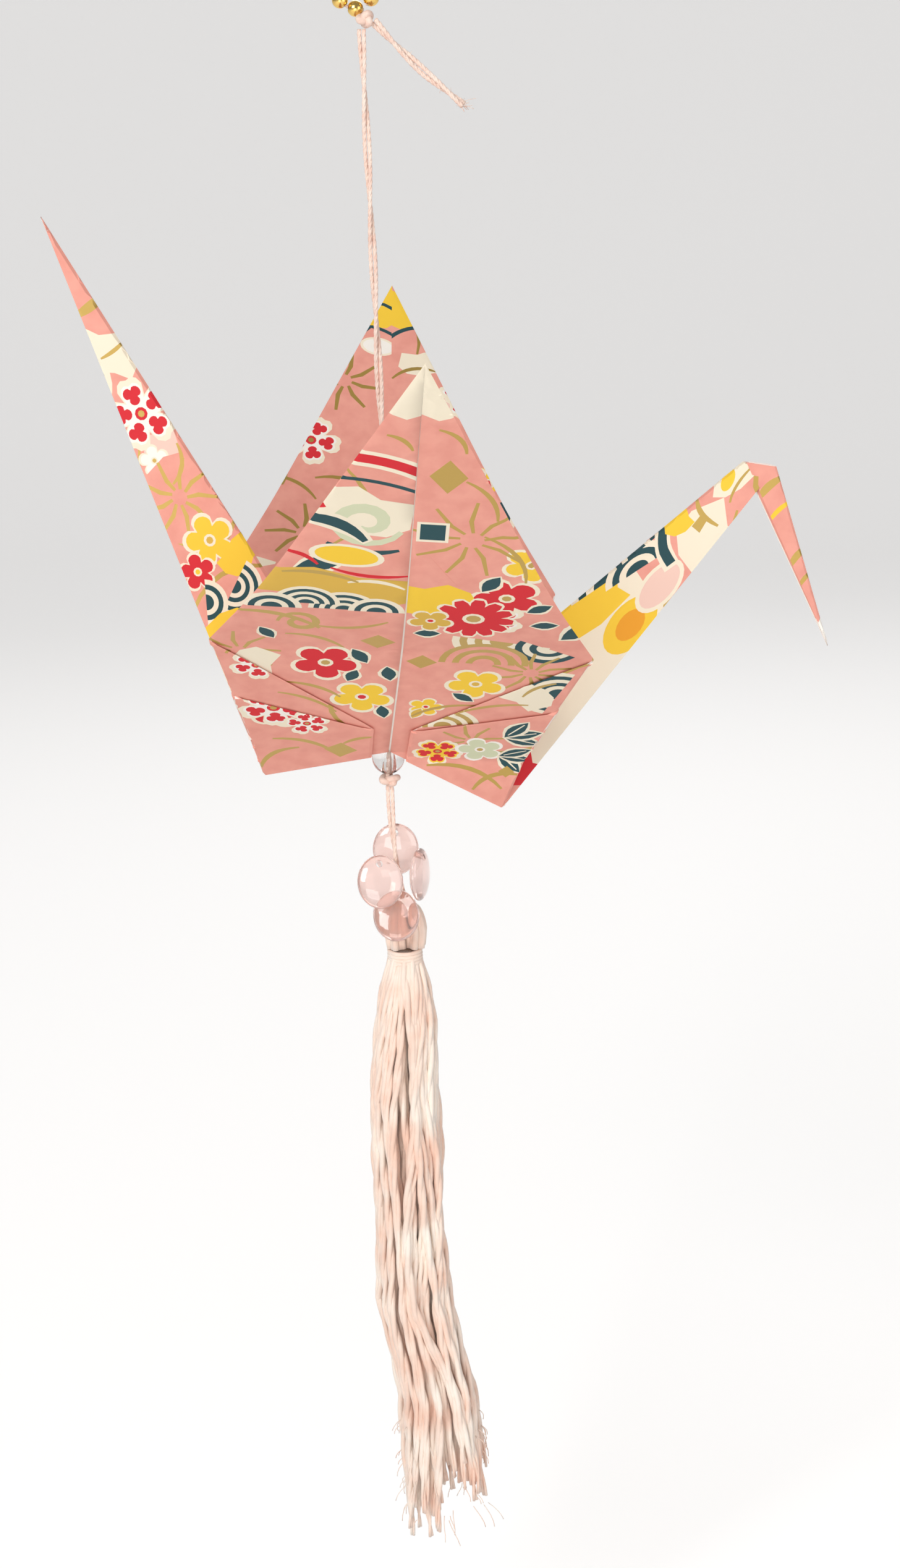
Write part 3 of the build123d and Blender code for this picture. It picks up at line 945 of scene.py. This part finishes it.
def crane_sheet():
    points, faces, middles, shapes = sheet_mesh()
    ink = inked(middles, shapes)
    groups = {}
    for index, (u, v) in enumerate(middles):
        side, wing = (1 if u >= 0 else -1), (1 if v <= 0 else -1)
        local = np.array([[abs(u), -abs(v)]])
        kind = kind_of(*local[0])
        zone = zone_of(kind, fold(kind, local)[0], side)
        groups.setdefault((side, wing, zone), []).append(index)
    total, weight = np.zeros((len(points), 3)), np.zeros(len(points))
    for (side, wing, zone), members in groups.items():
        used = np.unique(faces[members])
        local = np.stack([points[used, 0] * side, points[used, 1] * wing], 1)
        place = in_space(zone, fold(zone[0], local), side, wing)
        kind, outer, area = zone
        hidden = (area == "wedge" or area == "leg" and (kind == "T4" or outer)
                  or area == "head" and kind == "T4")
        share = 0.01 if hidden else 1.0
        total[used] += place * [1, wing, 1] * share
        weight[used] += share
    space = total / np.maximum(weight, 0.01)[:, None]
    used = np.unique(faces)
    renumber = np.full(len(points), -1)
    renumber[used] = np.arange(len(used))
    turn = Matrix.Translation(Vector((-THREAD_SIDE, 0, -HANG))) @ Matrix.Rotation(
        radians(TILT), 4, "Y"
    )
    rotation = np.array(turn)
    space = space[used] @ rotation[:3, :3].T + rotation[:3, 3]
    mesh = bpy.data.meshes.new("paper_crane")
    mesh.from_pydata((space * MM).tolist(), [], renumber[faces].tolist())
    for name in INK_ORDER:
        mesh.materials.append(paper[name])
    mesh.polygons.foreach_set("material_index", ink.astype(np.int32))
    mesh.validate()
    mesh.shade_smooth()
    mesh.set_sharp_from_angle(angle=radians(25))
    crane = add("paper_crane", mesh)
    thick = crane.modifiers.new("paper", "SOLIDIFY")
    thick.thickness = PAPER * MM
    thick.offset = -1
    thick.material_offset = len(INK_ORDER)
    thick.material_offset_rim = len(INK_ORDER)
    return crane


crane = crane_sheet()
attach(crane, "root")
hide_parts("crane")


# ---------------------------------------------------------------- threads and floss


def unit(rows):
    return rows / np.linalg.norm(rows, axis=1)[:, None]


def run_to(line):
    """How far along a line each of its points is."""
    return np.concatenate([[0], np.cumsum(np.linalg.norm(np.diff(line, axis=0), axis=1))])


def evenly(line, step):
    """Points a step apart along a line of straight runs."""
    run = run_to(line)
    where = np.linspace(0, run[-1], max(3, int(run[-1] / step)))
    return np.stack([np.interp(where, run, line[:, k]) for k in range(3)], 1)


def tube_mesh(name, paths, mat, closed=False):
    """One mesh of tubes. Each path is (points in mm, radius at each point, sides)."""
    verts, faces = [], []
    for points, radii, sides in paths:
        pts = np.asarray(points, float)
        if closed:
            tangent = unit(np.roll(pts, -1, 0) - np.roll(pts, 1, 0))
        else:
            tangent = unit(np.gradient(pts, axis=0))
        seed = np.array([0, 1.0, 0]) if abs(tangent[0][1]) < 0.9 else np.array([1.0, 0, 0])
        normal = np.cross(tangent[0], seed)
        normal /= np.linalg.norm(normal)
        start, rings = len(verts), len(pts)
        for point, direction, radius in zip(pts, tangent, np.broadcast_to(radii, rings)):
            normal = normal - direction * (normal @ direction)
            normal /= np.linalg.norm(normal)
            side = np.cross(direction, normal)
            for k in range(sides):
                a = 2 * pi * k / sides
                verts.append((point + radius * (cos(a) * normal + sin(a) * side)) * MM)
        for i in range(rings - (not closed)):
            for k in range(sides):
                a, b = start + i * sides + k, start + i * sides + (k + 1) % sides
                j = ((i + 1) % rings) * sides
                faces.append((a, b, start + j + (k + 1) % sides, start + j + k))
        if not closed:
            faces.append(tuple(start + k for k in reversed(range(sides))))
            faces.append(tuple(start + (rings - 1) * sides + k for k in range(sides)))
    mesh = bpy.data.meshes.new(name)
    mesh.from_pydata([tuple(v) for v in verts], [], faces)
    mesh.materials.append(mat)
    mesh.shade_smooth()
    return add(name, mesh)


def resample(points, step):
    """Points a step apart along the line, with its corners rounded."""
    line = evenly(np.asarray(points, float), step)
    count = len(line)
    window = max(1, int(count / len(points) / 3))
    for _ in range(2):
        smooth = line.copy()
        for k in range(1, count - 1):
            reach = min(window, k, count - 1 - k)
            smooth[k] = line[k - reach:k + reach + 1].mean(0)
        line = smooth
    return line


def twisted(line, count, helix, radius, pitch, sides=8, phase=0.0):
    """Strands that wind round a line."""
    line = np.asarray(line, float)
    tangent = unit(np.gradient(line, axis=0))
    first = unit(np.cross(tangent, [0, 1.0, 0.05]))
    second = np.cross(tangent, first)
    out = []
    for k in range(count):
        angle = phase + 2 * pi * (run_to(line) / pitch + k / count)
        pts = line + helix * (np.cos(angle)[:, None] * first + np.sin(angle)[:, None] * second)
        out.append((pts, radius, sides))
    return out


thread_mat = material("cotton_thread", (0.90, 0.68, 0.57), 0.8, 0, Sheen_Weight=0.35)
mottle(thread_mat, (0.86, 0.60, 0.49), (0.94, 0.77, 0.66), 700)
bump(thread_mat, 5200, 0.5, 0.00008, 3)
floss_mat = material("tassel_floss", (0.93, 0.77, 0.66), 0.55, 0, Sheen_Weight=0.5)
mottle(floss_mat, (0.87, 0.59, 0.46), (0.96, 0.84, 0.73), 150)
bump(floss_mat, 2600, 0.5, 0.0001, 3, (1, 1, 0.12))


def doubled(line, size, pitch, ply_pitch, phase=0.0):
    """A doubled thread: two strands side by side, each of three plies."""
    out = []
    for strand, _, _ in twisted(line, 2, size * 0.25, 1, pitch, phase=phase):
        out += twisted(strand, 3, size * 0.1, size * 0.135, ply_pitch, 7)
    return out


THREAD = 1.1
THREAD_ROUTE = [(-0.17, 0, -16.9), (0.07, 0, -80.7), (-1.1, 0, -102.3), (-1.3, 0, -113.8),
                (-0.1, 0, -120.6)]
line = resample(THREAD_ROUTE[::-1], 0.22)
thread = tube_mesh("doubled_thread", doubled(line, THREAD, 26.0, 2.3), thread_mat)

CUT_TAIL = [(1.3, 0, -16.1), (3.5, 0, -18.6), (6.9, 0, -22.0), (11.2, 0, -25.7)]
TAIL_FIBRES, FIBRE_RADIUS = 34, 0.028
tail_line = resample(CUT_TAIL, 0.2)
tail_paths = doubled(tail_line, 1.25, 17.0, 2.0, 0.4)
for _ in range(TAIL_FIBRES):
    at = tail_line[rng.randrange(len(tail_line) // 3, len(tail_line))]
    if rng.random() < 0.6:
        at = tail_line[-1] + [rng.uniform(-0.5, 0), rng.uniform(-0.3, 0.3), rng.uniform(-0.2, 0.4)]
    way = np.array([rng.uniform(-0.2, 1.1), rng.uniform(-0.8, 0.8), rng.uniform(-1, 0.7)])
    bend = np.array([rng.uniform(-0.4, 0.4) for _ in range(3)])
    length = rng.uniform(0.5, 1.3)
    fibre = [at + way * length * t + bend * t * t for t in np.linspace(0, 1, 5)]
    tail_paths.append((fibre, FIBRE_RADIUS, 4))
cut_tail = tube_mesh("cut_thread_ends", tail_paths, thread_mat)

LOOP_ROUTE = [(0.2, 0.75, -14.75), (-2.0, 0.75, -14.3), (-4.1, 0.75, -10.9), (-4.6, 0.75, -5.4),
              (-2.4, 0.75, 0), (2.2, 0.75, 0), (4.4, 0.75, -5.2), (3.7, 0.75, -10.4),
              (0.55, 0.75, -14.2)]


def filleted(points, share=0.45, step=0.15):
    """A route's straight runs joined by arcs, as the CAD thread is."""
    pts = [np.asarray(p, float) for p in points]
    out = [pts[0]]
    for a, b, c in zip(pts, pts[1:], pts[2:]):
        back, on = (a - b), (c - b)
        run = min(np.linalg.norm(back), np.linalg.norm(on)) * share
        back, on = back / np.linalg.norm(back), on / np.linalg.norm(on)
        start, end = b + back * run, b + on * run
        half = np.arccos(np.clip(-(back @ on), -1, 1)) / 2
        radius = run / tan(half)
        middle = (back + on) / np.linalg.norm(back + on)
        centre = b + middle * radius / cos(half)
        steps = max(2, int(radius * 2 * half / step))
        for k in range(steps + 1):
            t = k / steps
            point = start * (1 - t) + end * t
            away = point - centre
            out.append(centre + away / np.linalg.norm(away) * radius)
    out.append(pts[-1])
    return evenly(np.array(out), step)


loop_line = filleted(LOOP_ROUTE)
loop = tube_mesh("loop_thread", twisted(loop_line, 2, 0.11, 0.14, 1.6, 7), thread_mat)


KNOT_STRAND = 0.42  # radius of the thread that a knot is tied in


def knot(name, middle, size, turn, count=90):
    """A tied knot: a trefoil of thread, pulled tight."""
    t = np.linspace(0, 2 * pi, count, endpoint=False)
    shape = np.stack([np.sin(t) + 2 * np.sin(2 * t), np.sin(3 * t) * 1.1,
                      np.cos(t) - 2 * np.cos(2 * t)], 1)
    shape = shape / np.abs(shape).max(0) * (np.array(size) / 2 - KNOT_STRAND)
    c, s = cos(radians(turn)), sin(radians(turn))
    x, z = shape[:, 0].copy(), shape[:, 2].copy()
    shape[:, 0], shape[:, 2] = c * x - s * z, s * x + c * z
    return tube_mesh(name, [(shape + middle, KNOT_STRAND, 10)], thread_mat, closed=True)


top_knot = knot("tied_top_knot", (0.35, 0, -15.8), (2.2, 1.8, 2.1), 20)
bead_knot = knot("tied_bead_knot", (-1.05, -0.1, -105.1), (2.7, 2.1, 1.7), 0)

# The skirt: floss strands that start together under the waist and spread, cross and fray.
# Each row has the skirt's middle, its height and its radius there.
SKIRT = np.array([(-0.26, -127.6, 1.7), (-0.4, -131.5, 2.9), (-0.56, -136.4, 3.6),
                  (-1.05, -146.0, 4.1), (-1.05, -154.0, 4.3), (-1.2, -162.0, 4.1),
                  (-1.3, -174.0, 4.7), (-0.1, -180.0, 4.7), (1.3, -187.0, 5.0),
                  (2.0, -200.5, 5.6), (2.3, -206.0, 5.8)])
SKIRT_TOP, SKIRT_END = -127.4, -200.5  # where the strands start, and end on average
END_SLANT, TAIL_SIDE_LOWER = 2.6, 2.0
STRAND_STEP = 1.1
RINGS = ((0.93, 34), (0.66, 22), (0.36, 12))  # each one's share of the radius, and its strands
STRAY_FIBRES, STRAY_RADIUS, STRAY_END = 70, 0.05, -206.2


def skirt_at(z, column):
    return np.interp(-z, -SKIRT[:, 1], SKIRT[:, column])


def strand(angle, share, end, phase, wander, spin):
    """A strand's points: it turns by its spin and wanders as it goes down."""
    z = np.arange(SKIRT_TOP, end, -STRAND_STEP)
    t = (z - SKIRT_TOP) / (end - SKIRT_TOP)
    wave = wander * np.sin(2 * pi * (1.3 * t + phase)) * np.minimum(1, 4 * t)
    turned_by = angle + spin * t + wave
    radius = skirt_at(z, 2) * share * (1 + 0.05 * np.sin(2 * pi * (2.1 * t + 2 * phase)))
    x = skirt_at(z, 0) + radius * np.cos(turned_by)
    return np.stack([x, radius * np.sin(turned_by) * 0.95, z], 1)


floss = []
for ring_share, count in RINGS:
    for k in range(count):
        angle = 2 * pi * (k + rng.uniform(-0.3, 0.3)) / count
        side = cos(angle)
        end = SKIRT_END + END_SLANT * side + rng.uniform(-3.2, 2.6)
        if side < -0.1:
            end -= TAIL_SIDE_LOWER
        share = ring_share * rng.uniform(0.93, 1.04)
        path = strand(angle, share, end, rng.random(), rng.uniform(0.1, 0.42),
                      rng.uniform(-0.55, 0.75))
        size = rng.uniform(0.46, 0.60)
        thinner = np.clip((path[:, 2] - end) / 6, 0.55, 1)
        for ply, _, _ in twisted(path, 2, size * 0.34, 1, 11.0, phase=rng.uniform(0, 6)):
            floss.append((ply, size * 0.66 * thinner, 7))
for _ in range(STRAY_FIBRES):
    angle = rng.uniform(0, 2 * pi)
    z = rng.uniform(-204, -190)
    at = np.array([skirt_at(z, 0) + 5.2 * cos(angle), 4.6 * sin(angle), z])
    way = np.array([0.5 * cos(angle) + rng.uniform(-0.3, 0.3), 0.4 * sin(angle), -1])
    length = rng.uniform(1.0, 3.2)
    fibre = [at + way * length * t + [0.3 * sin(3 * t + angle), 0, 0] for t in np.linspace(0, 1, 5)]
    fibre = [np.maximum(p, [-np.inf, -np.inf, STRAY_END]) for p in fibre]
    floss.append((fibre, STRAY_RADIUS, 4))
skirt = tube_mesh("floss_skirt", floss, floss_mat)

# The head: loops of floss that go up over the thread and down again, in two lobes, and the
# turns of thread that bind the waist.
HEAD_Z, LOBE_APART, LOBE_LOOPS = -124.3, 1.35, 9
WAIST_X, WAIST_Z, WAIST_RADIUS, WAIST_TURNS, TURN_RISE = -0.2, -126.9, 1.95, 4, 0.42
head_paths = []
for lobe_x, lean in ((-LOBE_APART, 0.1), (LOBE_APART, -0.1)):
    for k in range(LOBE_LOOPS):
        spin = pi * k / LOBE_LOOPS
        t = np.linspace(-0.12 * pi, 1.12 * pi, 22)
        width = 1.15 * (0.75 + 0.25 * sin(2.1 * k))
        across = width * np.cos(t)
        up = np.where(np.sin(t) > 0, np.sin(t) * 3.0, np.sin(t) * 6.0)
        x = lobe_x * np.clip(1 + up / 7, 0.3, 1) + across * cos(spin) * 0.9 + lean * up
        head_paths.append((np.stack([x, across * sin(spin) * 1.35, HEAD_Z + up], 1), 0.42, 8))
for k in range(WAIST_TURNS):
    t = np.linspace(0, 2 * pi, 40, endpoint=False)
    x, y = WAIST_X + WAIST_RADIUS * np.cos(t), WAIST_RADIUS * np.sin(t)
    hoop = np.stack([x, y, WAIST_Z - TURN_RISE * k + 0.1 * np.sin(t)], 1)
    hoop = np.concatenate([hoop, hoop[:1]])
    head_paths.append((hoop, 0.27, 8))
tassel_head = tube_mesh("floss_head", head_paths, floss_mat)

for obj, node, slot in (
    (thread, "hanging_thread", "thread"), (cut_tail, "cut_tail", "thread"),
    (loop, "hanging_loop", "thread"), (top_knot, "top_knot", "thread"),
    (bead_knot, "bead_knot", "thread"), (skirt, "tassel_skirt", "tassel_floss"),
    (tassel_head, "tassel_head", "tassel_floss"),
):
    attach(obj, "root")
    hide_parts(node)


# ---------------------------------------------------------------- beads

gold = material("gold_bead", (0.80, 0.54, 0.16), 0.2, 1.0)
glass = material("clear_bead", (0.96, 0.95, 0.94), 0.04, 0, Transmission_Weight=1.0, IOR=1.5)
petal_glass = material("petal_bead", (1.0, 0.77, 0.71), 0.06, 0, Transmission_Weight=0.85,
                       IOR=1.45, Coat_Weight=0.7, Coat_Roughness=0.03)
nodes = frame["nodes"]
petal_beads = ["petal_bead_back", "petal_bead_front", "petal_bead_right", "petal_bead_low"]
looks = {"gold_beads": gold, "glass_bead": glass, **{name: petal_glass for name in petal_beads}}
for name, mat in looks.items():
    nodes[name].data.materials.clear()
    nodes[name].data.materials.append(mat)


# ---------------------------------------------------------------- camera, floor and light

CAMERA_AT = Vector((-5.9, -297.92, -34.99)) * MM
AZIMUTH, ELEVATION, ROLL = radians(-2.345), radians(13.406), radians(-2.447)
LENS, SENSOR = 57.34, 36
forward = Vector((-sin(AZIMUTH) * cos(ELEVATION), cos(AZIMUTH) * cos(ELEVATION), -sin(ELEVATION)))
flat_right = Vector((cos(AZIMUTH), sin(AZIMUTH), 0))
flat_up = flat_right.cross(forward)
right = cos(ROLL) * flat_right + sin(ROLL) * flat_up
up = -sin(ROLL) * flat_right + cos(ROLL) * flat_up
camera_data = bpy.data.cameras.new("camera")
camera_data.sensor_fit = "VERTICAL"
camera_data.sensor_height = SENSOR
camera_data.lens = LENS
camera_data.clip_start = 0.01
camera_data.clip_end = 50
camera = add("camera", camera_data)
turn = Matrix((right, up, -forward)).transposed().to_4x4()
camera.matrix_world = Matrix.Translation(CAMERA_AT) @ turn
bpy.context.scene.camera = camera

# The floor curves up into a wall. It glows only for what looks straight at it or through glass.
FLOOR_Z, FLOOR_HALF, FLOOR_GLOW = -0.235, 3.0, 0.42
WALL_FROM, WALL_RADIUS, WALL_HEIGHT = 0.9, 0.9, 3.0
floor_mat = material("floor", (0.80, 0.79, 0.78), 0.95)
tree = floor_mat.node_tree
ray = tree.nodes.new("ShaderNodeLightPath").outputs
seen = math_node(tree, "MAXIMUM", ray["Is Camera Ray"], ray["Is Glossy Ray"])
seen = math_node(tree, "MAXIMUM", seen, ray["Is Transmission Ray"])
floor_shader = tree.nodes["Principled BSDF"]
floor_shader.inputs["Emission Color"].default_value = (1, 0.99, 0.97, 1)
glow = math_node(tree, "MULTIPLY", seen, FLOOR_GLOW)
tree.links.new(glow, floor_shader.inputs["Emission Strength"])
profile = [(-FLOOR_HALF, 0)]
profile += [(WALL_FROM + WALL_RADIUS * sin(a), WALL_RADIUS * (1 - cos(a)))
            for a in np.linspace(0, pi / 2, 24)]
profile.append((WALL_FROM + WALL_RADIUS, WALL_HEIGHT))
floor_mesh = bpy.data.meshes.new("floor")
floor_mesh.from_pydata(
    [(x, y, z) for y, z in profile for x in (-FLOOR_HALF, FLOOR_HALF)], [],
    [(2 * i, 2 * i + 1, 2 * i + 3, 2 * i + 2) for i in range(len(profile) - 1)],
)
floor_mesh.shade_smooth()
floor_mesh.materials.append(floor_mat)
floor = add("floor", floor_mesh)
floor.location = (0, 0, FLOOR_Z)

WORLD_LIGHT, WORLD_SEEN = 0.42, 0.48  # its strength, and what the camera sees on top of that
world = bpy.data.worlds.new("studio")
world.use_nodes = True
tree = world.node_tree
backdrop = tree.nodes["Background"]
backdrop.inputs["Color"].default_value = (0.80, 0.80, 0.82, 1)
sight = tree.nodes.new("ShaderNodeLightPath").outputs["Is Camera Ray"]
strength = math_node(tree, "MULTIPLY_ADD", sight, WORLD_SEEN, WORLD_LIGHT)
tree.links.new(strength, backdrop.inputs["Strength"])
bpy.context.scene.world = world


def lamp(name, place, aim, width, power):
    data = bpy.data.lights.new(name, "AREA")
    data.size = width
    data.energy = power
    obj = add(name, data)
    obj.location = place
    obj.rotation_euler = (Vector(aim) - Vector(place)).to_track_quat("-Z", "Y").to_euler()


lamp("key", (-0.35, -0.55, 0.25), (0, 0, -0.1), 0.35, 3.1)
lamp("fill", (0.6, -0.45, 0.0), (0, 0, -0.1), 0.5, 1.3)
lamp("rim", (0.1, 0.6, 0.35), (0, 0, -0.08), 0.4, 1.3)
lamp("low", (-0.05, -0.55, -0.2), (0, 0, -0.1), 0.3, 0.9)

bpy.context.scene.view_settings.view_transform = "Standard"
